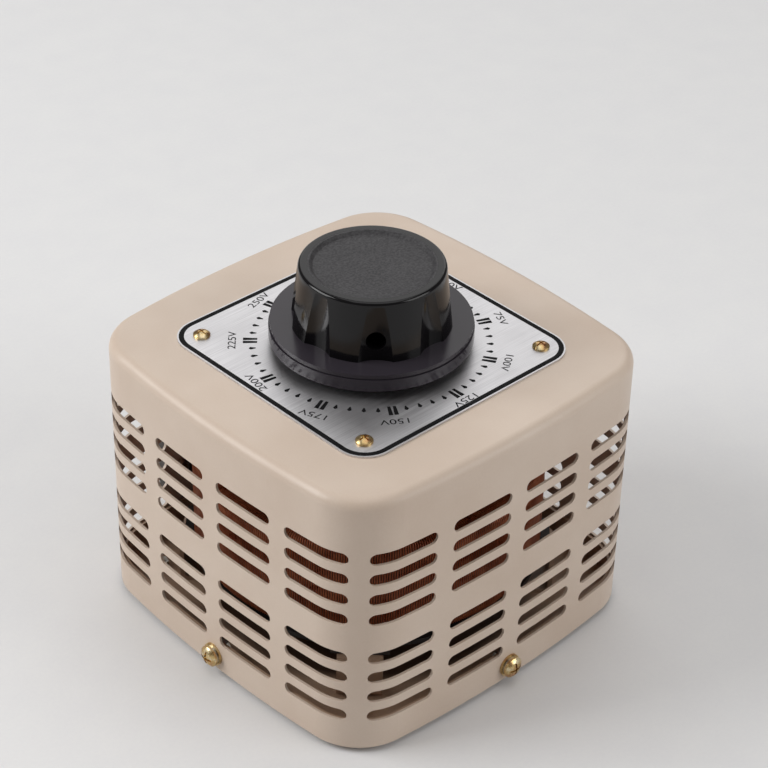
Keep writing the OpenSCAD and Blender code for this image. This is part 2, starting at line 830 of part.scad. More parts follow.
module dial_plate() {
  deep = 3 * dial_t;
  color("#d8d6d8") difference() {
    translate([0, 0, dial_z]) linear_extrude(dial_t) rounded_square(dial_half, dial_corner_r);
    translate([0, 0, dial_z - dial_t]) cylinder(r = top_hole_r, h = deep);
    at_dial_screws(dial_z - dial_t) cylinder(r = small_screw_r + hole_gap, h = deep);
  }
}

module dial_screws() {
  color("#c9a24a") at_dial_screws(dial_top)
    pan_screw(small_screw_r, dial_t + sheet_t + nut_h(small_screw_r));
}

module dial_nuts() {
  color("#b8ae98") at_dial_screws(case_top - sheet_t - nut_h(small_screw_r)) hex_nut(small_screw_r);
}

// Terminals

module terminal_board() {
  color("#26211f") on_terminal_side() difference() {
    union() {
      difference() {
        translate([board_rear, -board_w / 2, board_z - board_h / 2])
          cube([board_front - board_rear, board_w, board_h]);
        translate([-side_c, 0, board_z - board_h])
          cylinder(r = side_r + fit_gap, h = 2 * board_h, $fn = wide_fn);
      }
      translate([board_rear, -window_w / 2, board_z - window_h / 2])
        cube([board_front - board_rear, window_w, window_h]);
    }
    for (y = stud_list) translate([board_rear - stud_r, y, board_z]) facing_out()
      cylinder(r = stud_r + fit_gap, h = board_t + board_back + 2 * stud_r);
    for (s = [-1, 1]) translate([board_rear - stud_r, s * board_screw_y, board_z]) facing_out()
      cylinder(r = small_screw_r + hole_gap, h = board_t + board_back + 2 * stud_r);
  }
}

// The nut behind the wall clears the wall's slant
board_nut_u = wall_at(board_screw_y + nut_r(small_screw_r), sheet_t) - fit_gap;

module board_screws() {
  length = board_front - board_nut_u + nut_h(small_screw_r);
  color("#c9a24a") on_terminal_side() for (s = [-1, 1])
    translate([board_front, s * board_screw_y, board_z]) facing_out() pan_screw(small_screw_r, length);
}

module board_nuts() {
  color("#b8ae98") on_terminal_side() for (s = [-1, 1])
    translate([board_nut_u - nut_h(small_screw_r), s * board_screw_y, board_z]) facing_out()
      hex_nut(small_screw_r);
}

module at_studs(u) {
  on_terminal_side() for (y = stud_list) translate([u, y, board_z]) facing_out() children();
}

module terminal_studs() {
  low = board_rear - stud_rear;
  threaded = thumb_u + thumb_h - low;
  color("#b08d3e") at_studs(low) {
    cylinder(r = stud_r, h = threaded);
    translate([0, 0, threaded]) cylinder(r = stud_tip_r, h = stud_tip);
  }
}

module stud_washers() {
  color("#b08d3e") at_studs(board_front) ring(washer_r(stud_r), stud_r + hole_gap, washer_t);
}

module stud_nuts() {
  color("#b08d3e") at_studs(board_front + washer_t) hex_nut(stud_r);
}

module thumb_nuts() {
  grooves = 18;
  color("#b08d3e") at_studs(thumb_u) difference() {
    ring(thumb_r, stud_r + fit_gap, thumb_h);
    for (i = [0:grooves - 1]) rotate(i * 360 / grooves)
      translate([thumb_r + 0.02 * thumb_h, 0, -thumb_h]) cylinder(r = 0.08 * thumb_r, h = 3 * thumb_h);
  }
}

module rear_nuts() {
  color("#b08d3e") at_studs(board_rear - lug_t - nut_h(stud_r)) hex_nut(stud_r);
}

// A lead leaves the ring lug under its rear nut, rises and turns in to what it feeds
module lead(y, rise, reach) {
  lug_r = washer_r(stud_r);
  bend_z = rise - lead_bend_r;
  translate([board_rear - lug_t, y, 0]) facing_out() ring(lug_r, stud_r + fit_gap, lug_t);
  translate([board_rear - lug_t, y - lead_r, lug_r - lead_r]) cube([lug_t, 2 * lead_r, lead_r + lug_tongue]);
  translate([lead_u, y, lug_r]) cylinder(r = lead_r, h = bend_z - lug_r);
  translate([lead_u - lead_bend_r, y, bend_z]) rotate([90, 0, 0])
    rotate_extrude(angle = 90) translate([lead_bend_r, 0]) circle(lead_r);
  translate([lead_u - lead_bend_r, y, rise]) rotate([0, -90, 0])
    cylinder(r = lead_r, h = lead_u - lead_bend_r - reach);
}

// All leads but the last end on the winding, and the last turns down to the pickup strip
module inner_leads() {
  color("#8a2a20") on_terminal_side() translate([0, 0, board_z]) for (i = [0:studs - 1]) {
    y = stud_list[i];
    on_winding = sqrt(pow(winding_out_r + fit_gap, 2) - pow(abs(y) - lead_r, 2));
    if (i < studs - 1) lead(y, lead_rise, on_winding);
    else rotate([180, 0, 0]) lead(-y, lead_drop, lead_inner_u);
  }
}

// Rotor

module shaft() {
  low = collector_z;
  color("#c4c4c8") translate([0, 0, low]) cylinder(r = shaft_r, h = insert_top - shaft_end_gap - low);
}

module shaft_collar() {
  color("#8c8c90") translate([0, 0, collar_top - collar_h]) ring(collar_r, shaft_r + fit_gap, collar_h);
}

module collector_disc() {
  color("#b08d3e") translate([0, 0, collector_z]) ring(collector_r, shaft_r + fit_gap, collector_t);
}

// Sector of a ring between two radii, centred on +X
module sector(outer, inner, half_a, h) {
  rotate(-half_a) rotate_extrude(angle = 2 * half_a) translate([inner, 0]) square([outer - inner, h]);
}

module brush_arm() {
  windows = 6;
  color("#b9bbbd") difference() {
    union() {
      translate([0, 0, hub_z]) cylinder(r = hub_r, h = hub_h);
      translate([0, 0, arm_z]) {
        cylinder(r = arm_plate_r, h = arm_t);
        rotate(brush_a) translate([0, -arm_w / 2, 0])
          cube([brush_ring + holder_half_l, arm_w, arm_t]);
      }
      rotate(zero_a) translate([0, 0, lug_z]) sector(lug_outer, lug_inner, lug_half_a, arm_z - lug_z);
    }
    translate([0, 0, hub_z - hub_h]) cylinder(r = shaft_r + fit_gap, h = 3 * hub_h);
    for (i = [0:windows - 1]) rotate(brush_a + (i + 0.5) * 360 / windows)
      translate([(hub_r + lug_inner) / 2, 0, arm_z - arm_t])
        cylinder(r = (lug_inner - hub_r) / 4, h = 3 * arm_t);
    translate([0, 0, (hub_z + arm_z) / 2]) rotate(zero_a + 90) facing_out()
      cylinder(r = small_screw_r + fit_gap, h = 2 * hub_r);
  }
}

// Grub screw that grips the shaft, seen from its outer end
module grub_screw(r, l) {
  difference() {
    cylinder(r = r, h = l);
    translate([0, 0, 0.6 * l]) cylinder(r = 0.5 * r, h = l, $fn = 6);
  }
}

module arm_screw() {
  color("#4a4a4c") translate([0, 0, (hub_z + arm_z) / 2]) rotate(zero_a + 90) facing_out()
    translate([0, 0, shaft_r + fit_gap]) grub_screw(small_screw_r, hub_r - shaft_r);
}

module in_brush_place(z) {
  rotate(brush_a) translate([brush_ring, 0, z]) children();
}

module brush_holder() {
  pocket = [brush_l + 2 * brush_fit, brush_w + 2 * brush_fit];
  tall = arm_z - holder_z;
  color("#b08d3e") in_brush_place(holder_z) linear_extrude(tall) difference() {
    square(2 * [holder_half_l, holder_half_w], center = true);
    square(pocket, center = true);
  }
}

module carbon_brush() {
  color("#2a2a2c") in_brush_place(brush_z) translate([-brush_l / 2, -brush_w / 2, 0])
    cube([brush_l, brush_w, brush_h]);
}

// Points of one ring of the spring's wire at the share t of its length
spring_sides = 8;
spring_steps = 16;
function spring_ring(t, tall) =
  let (a = 360 * spring_turns * t, z = spring_wire_r + t * (tall - 2 * spring_wire_r))
  [for (k = [0:spring_sides - 1]) let (b = 360 * k / spring_sides, r = spring_r + spring_wire_r * cos(b))
    [r * cos(a), r * sin(a), z + spring_wire_r * sin(b)]];

module brush_spring() {
  tall = arm_z - brush_top;
  rings = spring_turns * spring_steps;
  n = spring_sides;
  points = [for (i = [0:rings]) each spring_ring(i / rings, tall)];
  walls = [for (i = [0:rings - 1], k = [0:n - 1])
    [i * n + k, (i + 1) * n + k, (i + 1) * n + (k + 1) % n, i * n + (k + 1) % n]];
  ends = [[for (k = [0:n - 1]) k], [for (k = [n - 1:-1:0]) rings * n + k]];
  color("#b8b8bc") in_brush_place(brush_top) polyhedron(points, concat(walls, ends));
}

// Knob

// Half section of the grip, from its base at z = 0
module grip_section() {
  polygon([
    [0, 0], [grip_base_r, 0], [grip_top_r, grip_h - grip_edge_r],
    [grip_top_r - grip_edge_r, grip_h], [0, grip_h]
  ]);
  translate([grip_top_r - grip_edge_r, grip_h - grip_edge_r]) circle(grip_edge_r);
}

// Round cutter that leans with the wall, so that its hollow grows shallow towards the rim
module flute_cut() {
  base_c = grip_base_r + flute_r - flute_depth;
  end_z = grip_h - flute_end;
  end_c = grip_base_r + (grip_top_r - grip_base_r) * end_z / grip_h + flute_r - flute_top_depth;
  translate([base_c, 0, 0]) rotate([0, atan2(end_c - base_c, end_z), 0])
    translate([0, 0, -grip_h]) cylinder(r = flute_r, h = 3 * grip_h);
}

// The grip's fluted part, which stops below the rim
module flutes_cut() {
  intersection() {
    translate([0, 0, -grip_edge_r]) cylinder(r = 2 * grip_base_r, h = grip_h - flute_end + grip_edge_r);
    for (i = [0:flutes - 1]) rotate(set_screw_a + i * 360 / flutes) flute_cut();
  }
}

module skirt() {
  cylinder(r = skirt_r, h = skirt_band);
  translate([0, 0, skirt_band]) cylinder(r = skirt_r - 2 * skirt_groove, h = skirt_groove);
  translate([0, 0, skirt_band + skirt_groove]) cylinder(r = skirt_r - skirt_groove, h = skirt_lip);
}

module knob() {
  hollow_r = grip_base_r;
  color("#1d1b1d") difference() {
    union() {
      translate([0, 0, skirt_z]) skirt();
      translate([0, 0, skirt_top]) difference() {
        rotate_extrude() grip_section();
        flutes_cut();
      }
    }
    translate([0, 0, knob_top - dish_depth])
      cylinder(r1 = dish_r - dish_slope, r2 = dish_r + dish_slope, h = 2 * dish_depth);
    translate([0, 0, skirt_z - skirt_hollow]) cylinder(r = hollow_r, h = 2 * skirt_hollow);
    translate([0, 0, skirt_z]) cylinder(r = insert_r + fit_gap, h = insert_top - skirt_z + fit_gap);
    translate([0, 0, set_screw_z]) rotate(set_screw_a) facing_out()
      cylinder(r = set_hole_r, h = 2 * grip_base_r);
  }
}

module knob_insert() {
  color("#b08d3e") translate([0, 0, insert_z]) difference() {
    ring(insert_r, shaft_r + fit_gap, insert_h);
    translate([0, 0, set_screw_z - insert_z]) rotate(set_screw_a) facing_out()
      cylinder(r = case_screw_r + fit_gap, h = 2 * insert_r);
  }
}

module knob_set_screw() {
  color("#4a4a4c") translate([0, 0, set_screw_z]) rotate(set_screw_a) facing_out()
    translate([0, 0, shaft_r + fit_gap]) grub_screw(case_screw_r, insert_r);
}

case();
case_screws();
case_spring_washers();
case_flat_washers();
case_nuts();
base_tray();
rubber_feet();
foot_screws();
foot_nuts();
legs();
leg_base_screws();
leg_base_nuts();
leg_top_screws();
leg_top_nuts();
carrier_plate();
fibre_pad();
iron_core();
core_insulation();
winding();
clamp_disc();
clamp_bolts();
clamp_washers();
clamp_nuts();
stop_post();
upper_bush();
lower_bush();
pickup_strip();
pickup_screw();
dial_plate();
dial_screws();
dial_nuts();
terminal_board();
board_screws();
board_nuts();
terminal_studs();
stud_nuts();
stud_washers();
thumb_nuts();
rear_nuts();
inner_leads();
shaft();
shaft_collar();
collector_disc();
brush_arm();
arm_screw();
brush_holder();
knob();
knob_insert();
knob_set_screw();
carbon_brush();
brush_spring();
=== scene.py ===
# Looks of a variable transformer: slotted beige case, brushed scale plate, fluted black knob
import json
import math

import bpy
from mathutils import Matrix, Vector


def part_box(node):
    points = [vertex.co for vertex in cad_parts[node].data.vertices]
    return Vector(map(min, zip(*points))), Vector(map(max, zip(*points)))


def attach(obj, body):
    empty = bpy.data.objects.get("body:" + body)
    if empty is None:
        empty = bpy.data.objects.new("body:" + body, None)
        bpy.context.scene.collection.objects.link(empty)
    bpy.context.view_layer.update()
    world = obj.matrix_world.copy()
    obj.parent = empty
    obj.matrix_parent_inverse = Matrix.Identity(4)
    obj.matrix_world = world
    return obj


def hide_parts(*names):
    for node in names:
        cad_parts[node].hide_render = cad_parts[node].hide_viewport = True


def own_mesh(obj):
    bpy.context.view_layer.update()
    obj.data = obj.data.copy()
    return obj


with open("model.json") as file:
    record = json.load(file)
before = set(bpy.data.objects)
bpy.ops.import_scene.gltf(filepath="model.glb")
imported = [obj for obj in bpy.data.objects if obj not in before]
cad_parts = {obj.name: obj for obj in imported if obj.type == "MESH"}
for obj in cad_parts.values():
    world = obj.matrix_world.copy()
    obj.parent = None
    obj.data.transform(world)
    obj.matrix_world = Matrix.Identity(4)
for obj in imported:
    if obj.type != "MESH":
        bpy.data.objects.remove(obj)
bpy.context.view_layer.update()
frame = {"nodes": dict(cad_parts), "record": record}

# Sizes that more than one section uses

MM = 0.001
# Texture scale that gives a pattern about one millimetre across
PER_MM = 1000.0
FULL_TURN, QUARTER_TURN = 2 * math.pi, math.pi / 2

# The scale runs clockwise, seen from above, from 0 V to 250 V, with ticks 5 V apart and marks 25 V apart
ZERO_ANGLE = math.radians(-105)
VOLT_ANGLE = math.radians(-1.32)
LAST_VOLT, MARK_STEP, TICK_STEP = 250, 25, 5

winding_low, winding_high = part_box("winding")
knob_low, knob_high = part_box("knob")
tray_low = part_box("base_tray")[0]
plate_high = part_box("dial_plate")[1]

# The winding's inner radius, thickness and edge radius
RING_IN, WINDING_WALL, WINDING_EDGE = 42.5 * MM, 3.0 * MM, 5.0 * MM
ring_out = winding_high.x
ring_middle = (RING_IN + ring_out) / 2
# The track that the brush rubs bare: its width, and how far down the wires it reaches
TRACK_WIDE, TRACK_DEEP = 11 * MM, 0.35 * MM
# The tray's sheet, the radius of the painted shade on its floor and the width of the shade's ragged edge
TRAY_THICK, PAINTED_SHADE_R, PAINTED_SHADE_EDGE = 1.5 * MM, 74 * MM, 8 * MM
# The thread on the terminal studs, which runs inward from this place along Y
THREAD_PITCH, THREAD_DEEP, THREAD_FROM = 0.8 * MM, 0.2 * MM, -116 * MM
# The thickness of printed or filled paint
INK = 0.04 * MM
# The dish in the knob's top, and the upper face of its skirt
DISH_R, DISH_DEPTH = 28 * MM, 1.2 * MM
SKIRT_UP, GRIP_R, SKIRT_R = 7.7 * MM, 35.4 * MM, 44.3 * MM
skirt_z = knob_low.z + SKIRT_UP


# Nodes and materials

def linear(code):
    """An sRGB hex code as linear red, green, blue and an alpha of one."""
    parts = [int(code[i:i + 2], 16) / 255 for i in (1, 3, 5)]
    return tuple(c / 12.92 if c <= 0.04045 else ((c + 0.055) / 1.055) ** 2.4 for c in parts) + (1.0,)


def add(tree, kind, links=None, **settings):
    """Adds a node. A socket takes a plain value, a node's first output, a node and one of its outputs,
    or a list of such outputs."""
    node = tree.nodes.new(kind)
    for name, value in settings.items():
        setattr(node, name, value)
    for socket, given in (links or {}).items():
        for value in given if isinstance(given, list) else [given]:
            if isinstance(value, bpy.types.Node):
                value = (value, 0)
            if isinstance(value, tuple) and isinstance(value[0], bpy.types.Node):
                tree.links.new(value[0].outputs[value[1]], node.inputs[socket])
            else:
                node.inputs[socket].default_value = value
    return node


def start(name):
    """An empty material, its node tree and the object's own coordinates."""
    material = bpy.data.materials.new(name)
    material.use_nodes = True
    material.node_tree.nodes.clear()
    place = add(material.node_tree, "ShaderNodeTexCoord")
    return material, material.node_tree, (place, "Object")


def from_axis(tree, place):
    """A point's three coordinates apart, and its distance from the shaft's axis."""
    axes = add(tree, "ShaderNodeSeparateXYZ", {0: place})
    flat = add(tree, "ShaderNodeCombineXYZ", {"X": (axes, "X"), "Y": (axes, "Y")})
    radius = add(tree, "ShaderNodeVectorMath", {0: flat}, operation="LENGTH")
    return axes, (radius, "Value")


def stoved_enamel(name, light, dark, roughness, painted_shade=False):
    """Sprayed and stoved paint on steel: a satin skin with a fine orange peel and a little uneven colour.
    On the tray, shade is painted: the floor under the winding is darkened to dark brown inside a ragged
    circle, where the case's inside gets little light."""
    material, tree, place = start(name)
    cloud = add(tree, "ShaderNodeTexNoise", {"Vector": place, "Scale": PER_MM / 38, "Detail": 3.0})
    fleck = add(tree, "ShaderNodeTexNoise", {"Vector": place, "Scale": PER_MM / 0.9, "Detail": 1.0})
    blend = add(tree, "ShaderNodeMath", {0: fleck, 1: 0.25, 2: cloud}, operation="MULTIPLY_ADD")
    share = add(tree, "ShaderNodeMapRange", {"Value": blend, "From Min": 0.4, "From Max": 0.85})
    colour = add(tree, "ShaderNodeMix", {0: share, 6: linear(light), 7: linear(dark)}, data_type="RGBA")
    gloss = add(tree, "ShaderNodeMapRange", {
        "Value": cloud, "From Min": 0.3, "From Max": 0.7,
        "To Min": roughness - 0.04, "To Max": roughness + 0.05})
    # Painted shade: the tray's floor under the winding is darkened to dark brown inside a ragged circle
    if painted_shade:
        axes, radius = from_axis(tree, place)
        ragged = add(tree, "ShaderNodeMath", {0: cloud, 1: PAINTED_SHADE_EDGE, 2: radius}, operation="MULTIPLY_ADD")
        shade_share = add(tree, "ShaderNodeMapRange", {
            "Value": ragged, "From Min": PAINTED_SHADE_R + PAINTED_SHADE_EDGE, "From Max": PAINTED_SHADE_R})
        above = add(tree, "ShaderNodeMath", {0: (axes, "Z"), 1: tray_low.z + TRAY_THICK / 2},
                    operation="GREATER_THAN")
        painted_shade_mask = add(tree, "ShaderNodeMath", {0: shade_share, 1: above}, operation="MULTIPLY")
        colour = add(tree, "ShaderNodeMix", {0: painted_shade_mask, 6: (colour, 2), 7: linear("#4a3426")},
                     data_type="RGBA")
    # Orange peel is about 1 mm across, drawn at 1.6 mm so that it shows
    peel = add(tree, "ShaderNodeTexNoise", {"Vector": place, "Scale": PER_MM / 1.6, "Detail": 2.0})
    relief = add(tree, "ShaderNodeBump", {"Height": peel, "Distance": 0.02 * MM, "Strength": 0.6})
    shader = add(tree, "ShaderNodeBsdfPrincipled", {
        "Base Color": (colour, 2), "Roughness": gloss, "IOR": 1.5, "Normal": relief})
    add(tree, "ShaderNodeOutputMaterial", {"Surface": shader})
    return material


def zinc_plate(name, base, tint, shade, roughness):
    """Bright zinc plating with its passivation film: metal with soft patches of tint."""
    material, tree, place = start(name)
    patch = add(tree, "ShaderNodeTexNoise", {"Vector": place, "Scale": PER_MM / 3.5, "Detail": 3.0})
    grain = add(tree, "ShaderNodeTexNoise", {"Vector": place, "Scale": PER_MM / 0.35, "Detail": 2.0})
    ramp = add(tree, "ShaderNodeValToRGB", {"Fac": patch})
    stops = ramp.color_ramp.elements
    stops[0].position, stops[0].color = 0.32, linear(shade)
    stops[1].position, stops[1].color = 0.68, linear(tint)
    stops.new(0.5).color = linear(base)
    gloss = add(tree, "ShaderNodeMapRange", {
        "Value": grain, "To Min": roughness - 0.06, "To Max": roughness + 0.1})
    relief = add(tree, "ShaderNodeBump", {"Height": grain, "Distance": 0.01 * MM})
    shader = add(tree, "ShaderNodeBsdfPrincipled", {
        "Base Color": ramp, "Metallic": 1.0, "Roughness": gloss, "Normal": relief})
    add(tree, "ShaderNodeOutputMaterial", {"Surface": shader})
    return material


def turned_metal(name, light, dark, roughness, threaded=False):
    """Metal turned on a lathe: fine tool marks, and dull patches where it has been handled.
    A threaded one has the ridges of the terminal studs' thread."""
    material, tree, place = start(name)
    patch = add(tree, "ShaderNodeTexNoise", {"Vector": place, "Scale": PER_MM / 5, "Detail": 4.0})
    tool = add(tree, "ShaderNodeTexNoise", {"Vector": place, "Scale": PER_MM / 0.3, "Detail": 2.0})
    share = add(tree, "ShaderNodeMapRange", {"Value": patch, "From Min": 0.35, "From Max": 0.7})
    colour = add(tree, "ShaderNodeMix", {0: share, 6: linear(light), 7: linear(dark)}, data_type="RGBA")
    gloss = add(tree, "ShaderNodeMapRange", {
        "Value": patch, "From Min": 0.3, "From Max": 0.7,
        "To Min": roughness - 0.06, "To Max": roughness + 0.12})
    relief = add(tree, "ShaderNodeBump", {"Height": tool, "Distance": 0.01 * MM})
    if threaded:
        axes = add(tree, "ShaderNodeSeparateXYZ", {0: place})
        turn = add(tree, "ShaderNodeMath", {0: (axes, "Y"), 1: FULL_TURN / THREAD_PITCH},
                   operation="MULTIPLY")
        wave = add(tree, "ShaderNodeMath", {0: turn}, operation="SINE")
        behind = add(tree, "ShaderNodeMath", {0: (axes, "Y"), 1: THREAD_FROM}, operation="GREATER_THAN")
        ridge = add(tree, "ShaderNodeMath", {0: wave, 1: behind}, operation="MULTIPLY")
        relief = add(tree, "ShaderNodeBump", {"Height": ridge, "Distance": THREAD_DEEP, "Normal": relief})
    shader = add(tree, "ShaderNodeBsdfPrincipled", {
        "Base Color": (colour, 2), "Metallic": 1.0, "Roughness": gloss, "Normal": relief})
    add(tree, "ShaderNodeOutputMaterial", {"Surface": shader})
    return material


def brushed_aluminium(name):
    """Anodised plate, brushed one way: long hair lines that draw the reflections out sideways."""
    material, tree, place = start(name)
    # Hair lines are about 0.1 mm wide, drawn at 0.35 mm so that they show
    along = add(tree, "ShaderNodeMapping", {
        "Vector": place, "Scale": (PER_MM / 40, PER_MM / 0.35, PER_MM / 0.35)})
    hair = add(tree, "ShaderNodeTexNoise", {"Vector": along, "Scale": 1.0, "Detail": 3.0, "Roughness": 0.6})
    smudge = add(tree, "ShaderNodeTexNoise", {"Vector": place, "Scale": PER_MM / 17, "Detail": 4.0})
    share = add(tree, "ShaderNodeMapRange", {"Value": hair, "From Min": 0.3, "From Max": 0.7})
    colour = add(tree, "ShaderNodeMix", {0: share, 6: linear("#c9c8ca"), 7: linear("#e6e5e7")},
                 data_type="RGBA")
    both = add(tree, "ShaderNodeMath", {0: smudge, 1: hair}, operation="ADD")
    gloss = add(tree, "ShaderNodeMapRange", {
        "Value": both, "From Min": 0.7, "From Max": 1.3, "To Min": 0.4, "To Max": 0.56})
    relief = add(tree, "ShaderNodeBump", {"Height": hair, "Distance": 0.012 * MM, "Strength": 0.7})
    shader = add(tree, "ShaderNodeBsdfPrincipled", {
        "Base Color": (colour, 2), "Metallic": 1.0, "Roughness": gloss, "Anisotropic": 0.4, "Normal": relief})
    add(tree, "ShaderNodeOutputMaterial", {"Surface": shader})
    return material


def bakelite(name):
    """Pressed black bakelite: a deep gloss on the grip, a little less on the skirt, and a fine matt grain
    in the dish."""
    material, tree, place = start(name)
    axes, radius = from_axis(tree, place)
    inside = add(tree, "ShaderNodeMath", {0: radius, 1: DISH_R}, operation="LESS_THAN")
    above = add(tree, "ShaderNodeMath", {0: (axes, "Z"), 1: knob_high.z - 2 * DISH_DEPTH},
                operation="GREATER_THAN")
    dish = add(tree, "ShaderNodeMath", {0: inside, 1: above}, operation="MULTIPLY")
    cloud = add(tree, "ShaderNodeTexNoise", {"Vector": place, "Scale": PER_MM / 9, "Detail": 4.0})
    # The grain is about 0.4 mm wide, drawn at 1.1 mm so that it shows
    grain = add(tree, "ShaderNodeTexNoise", {"Vector": place, "Scale": PER_MM / 1.1, "Detail": 2.0})
    speck = add(tree, "ShaderNodeMapRange", {"Value": grain, "From Min": 0.35, "From Max": 0.65})
    skirt = add(tree, "ShaderNodeMath", {0: (axes, "Z"), 1: skirt_z + 2 * INK}, operation="LESS_THAN")
    gloss = add(tree, "ShaderNodeMapRange", {
        "Value": cloud, "From Min": 0.3, "From Max": 0.7, "To Min": 0.09, "To Max": 0.16})
    matt = add(tree, "ShaderNodeMath", {0: dish, 1: 0.4, 2: gloss}, operation="MULTIPLY_ADD")
    dull = add(tree, "ShaderNodeMath", {0: skirt, 1: 0.06, 2: matt}, operation="MULTIPLY_ADD")
    grey = add(tree, "ShaderNodeMix", {0: speck, 6: linear("#2c2b2d"), 7: linear("#424143")},
               data_type="RGBA")
    black = add(tree, "ShaderNodeMix", {0: skirt, 6: linear("#0c0b0d"), 7: linear("#322e34")},
                data_type="RGBA")
    colour = add(tree, "ShaderNodeMix", {0: dish, 6: (black, 2), 7: (grey, 2)}, data_type="RGBA")
    height = add(tree, "ShaderNodeMath", {0: grain, 1: dish}, operation="MULTIPLY")
    relief = add(tree, "ShaderNodeBump", {"Height": height, "Distance": 0.2 * MM})
    skin = add(tree, "ShaderNodeBump", {"Height": cloud, "Distance": 0.02 * MM, "Normal": relief})
    shader = add(tree, "ShaderNodeBsdfPrincipled", {
        "Base Color": (colour, 2), "Roughness": dull, "IOR": 1.38, "Normal": skin})
    add(tree, "ShaderNodeOutputMaterial", {"Surface": shader})
    return material


def enamelled_copper(name):
    """Magnet wire: copper under red-brown enamel, rubbed bright in the track where the brush runs."""
    material, tree, place = start(name)
    axes, radius = from_axis(tree, place)
    from_track = add(tree, "ShaderNodeMath", {0: radius, 1: ring_middle}, operation="SUBTRACT")
    away = add(tree, "ShaderNodeMath", {0: from_track}, operation="ABSOLUTE")
    near = add(tree, "ShaderNodeMath", {0: away, 1: TRACK_WIDE / 2}, operation="LESS_THAN")
    top = add(tree, "ShaderNodeMath", {0: (axes, "Z"), 1: winding_high.z - TRACK_DEEP},
              operation="GREATER_THAN")
    bare = add(tree, "ShaderNodeMath", {0: near, 1: top}, operation="MULTIPLY")
    shade = add(tree, "ShaderNodeTexNoise", {"Vector": place, "Scale": PER_MM / 6, "Detail": 3.0})
    share = add(tree, "ShaderNodeMapRange", {"Value": shade, "From Min": 0.3, "From Max": 0.7})
    enamel = add(tree, "ShaderNodeMix", {0: share, 6: linear("#924a2d"), 7: linear("#b56d49")},
                 data_type="RGBA")
    colour = add(tree, "ShaderNodeMix", {0: bare, 6: (enamel, 2), 7: linear("#d9966a")}, data_type="RGBA")
    metal = add(tree, "ShaderNodeMapRange", {"Value": bare, "To Min": 0.45, "To Max": 1.0})
    gloss = add(tree, "ShaderNodeMapRange", {
        "Value": shade, "From Min": 0.3, "From Max": 0.7, "To Min": 0.26, "To Max": 0.38})
    shader = add(tree, "ShaderNodeBsdfPrincipled", {
        "Base Color": (colour, 2), "Metallic": metal, "Roughness": gloss})
    add(tree, "ShaderNodeOutputMaterial", {"Surface": shader})
    return material


def dull_solid(name, light, dark, grain_mm, relief_mm, roughness, metallic=0.0, ior=1.5):
    """Pressed, moulded, cast or printed stuff with an even grain, such as rubber, fibre, carbon, laminate,
    sand-cast metal and ink: soft mottling and no sharp reflections."""
    material, tree, place = start(name)
    grain = add(tree, "ShaderNodeTexNoise", {
        "Vector": place, "Scale": PER_MM / grain_mm, "Detail": 4.0, "Roughness": 0.6})
    cloud = add(tree, "ShaderNodeTexNoise", {
        "Vector": place, "Scale": PER_MM / (12 * grain_mm), "Detail": 2.0})
    both = add(tree, "ShaderNodeMath", {0: grain, 1: cloud}, operation="ADD")
    share = add(tree, "ShaderNodeMapRange", {"Value": both, "From Min": 0.7, "From Max": 1.3})
    colour = add(tree, "ShaderNodeMix", {0: share, 6: linear(light), 7: linear(dark)}, data_type="RGBA")
    gloss = add(tree, "ShaderNodeMapRange", {
        "Value": both, "From Min": 0.7, "From Max": 1.3,
        "To Min": roughness - 0.08, "To Max": roughness + 0.08})
    relief = add(tree, "ShaderNodeBump", {"Height": grain, "Distance": relief_mm * MM})
    shader = add(tree, "ShaderNodeBsdfPrincipled", {
        "Base Color": (colour, 2), "Metallic": metallic, "Roughness": gloss, "IOR": ior, "Normal": relief})
    add(tree, "ShaderNodeOutputMaterial", {"Surface": shader})
    return material


finishes = {
    "beige_paint": stoved_enamel("beige_stoved_enamel", "#d0bfaf", "#c8b5a4", 0.4),
    "frame_paint": stoved_enamel("thin_beige_stoved_enamel", "#b99d86", "#a98c75", 0.5),
    "black_paint": stoved_enamel("black_stoved_enamel", "#2c2a29", "#1d1c1b", 0.45),
    "yellow_zinc": zinc_plate("yellow_passivated_zinc", "#ccb17b", "#e1d2ae", "#b68a63", 0.26),
    "plain_zinc": zinc_plate("clear_passivated_zinc", "#bdb9b0", "#cfcdc8", "#a39d92", 0.3),
    "foot_rubber": dull_solid("moulded_rubber", "#2c2c2c", "#1b1b1b", 0.8, 0.03, 0.75),
    "fibre": dull_solid("pressed_fibre", "#8f7750", "#6f5b3c", 1.2, 0.05, 0.8),
    "core_iron": dull_solid("wound_iron_strip", "#77777b", "#5b5b5f", 1.0, 0.03, 0.5, 0.9),
    "copper": enamelled_copper("enamelled_copper_wire"),
    "bare_copper": turned_metal("rolled_copper_strip", "#d08f62", "#a8683f", 0.32),
    "dark_laminate": dull_solid("phenolic_laminate", "#3a302a", "#251e1a", 0.9, 0.02, 0.42),
    "brass": turned_metal("turned_brass", "#d6b15e", "#b58d3c", 0.28),
    "dial_aluminium": brushed_aluminium("brushed_anodised_aluminium"),
    "arm_aluminium": dull_solid("cast_aluminium", "#c3c5c7", "#a8aaad", 0.9, 0.05, 0.45, 1.0),
    "steel": turned_metal("ground_steel", "#c8c8cb", "#a9a9ad", 0.25),
    "dark_steel": turned_metal("black_oxide_steel", "#3c3c3f", "#262628", 0.35),
    "bakelite": bakelite("polished_bakelite"),
    "carbon": dull_solid("pressed_carbon", "#38383b", "#212123", 0.4, 0.02, 0.55),
    "lead_sleeve": dull_solid("plastic_sleeve", "#a03a30", "#8a2a20", 2.0, 0.01, 0.45),
}
